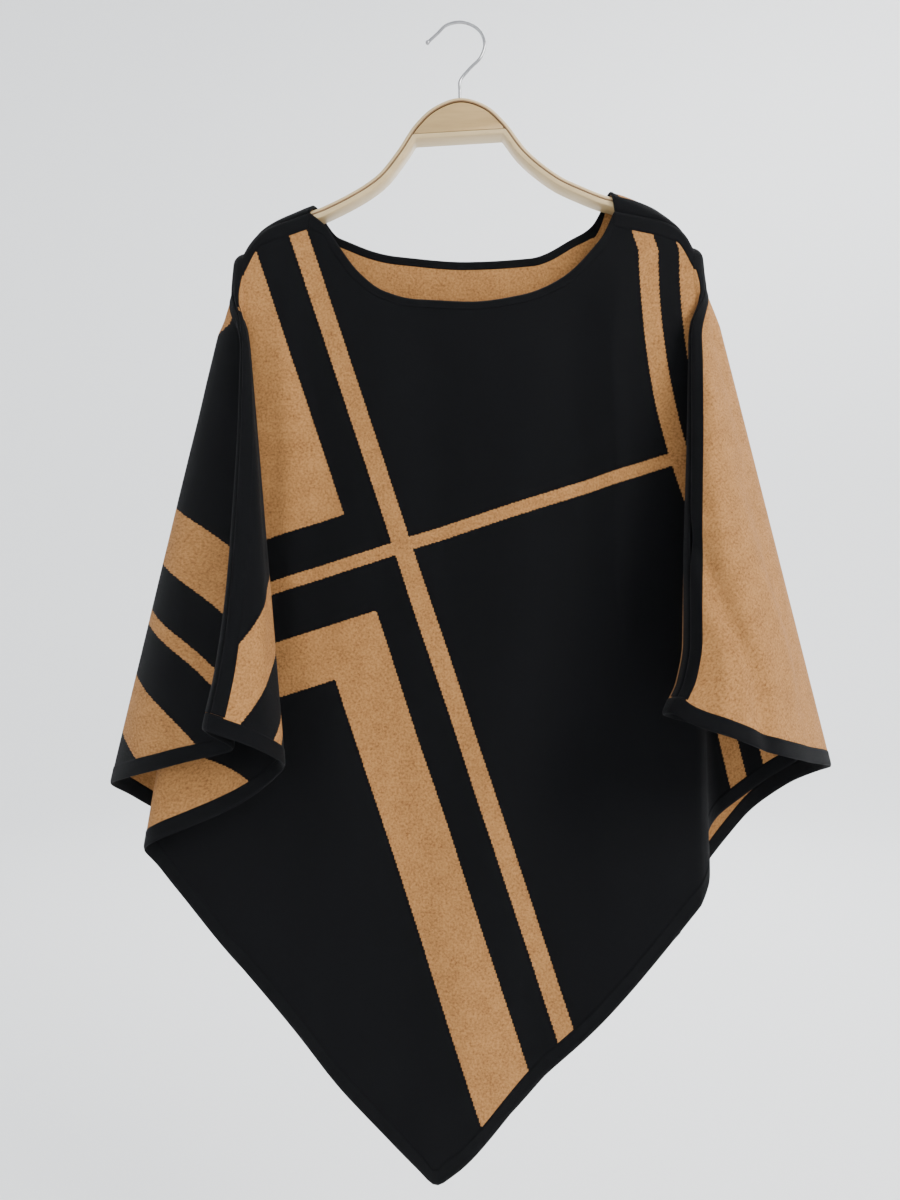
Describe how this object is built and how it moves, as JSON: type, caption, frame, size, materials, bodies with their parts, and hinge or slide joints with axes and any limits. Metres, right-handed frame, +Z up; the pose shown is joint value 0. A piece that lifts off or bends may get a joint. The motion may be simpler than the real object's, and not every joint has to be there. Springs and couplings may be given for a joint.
{
  "type": "knitted poncho sweater hung on a bent wood hanger",
  "caption": "Oversize knitted poncho sweater with a boat neck and a hem that falls to a point, folded over a flat wood hanger with a wire hook.",
  "frame": {"origin": "inside of the top of the hanger's hook, where the rail or peg that carries it touches", "axes": "+X to the viewer's right along the hanger, +Y away from the viewer through the garment from front to back, +Z up"},
  "size_m": [0.7033, 0.2107, 1.1383],
  "materials": {
    "black_knit": "black fine-gauge viscose and polyamide knit, matt with a slight bloom",
    "camel_knit": "camel fine-gauge viscose and polyamide knit, matt with a slight bloom",
    "pale_wood": "pale laminated wood, satin",
    "grain_wood": "wood with a fine straight grain, satin",
    "wire": "bright plated steel wire"
  },
  "bodies": {
    "root": {"front_panel": "black_knit", "back_panel": "camel_knit", "front_hem_band": "black_knit", "back_hem_band": "black_knit", "front_neck_band": "black_knit", "back_neck_band": "black_knit", "front_left_seam_band": "black_knit", "front_right_seam_band": "black_knit", "back_left_seam_band": "black_knit", "back_right_seam_band": "black_knit", "hanger_upper_strip": "pale_wood", "hanger_lower_strip": "pale_wood", "hanger_block": "grain_wood", "hanger_hook": "wire"}
  },
  "joints": []
}
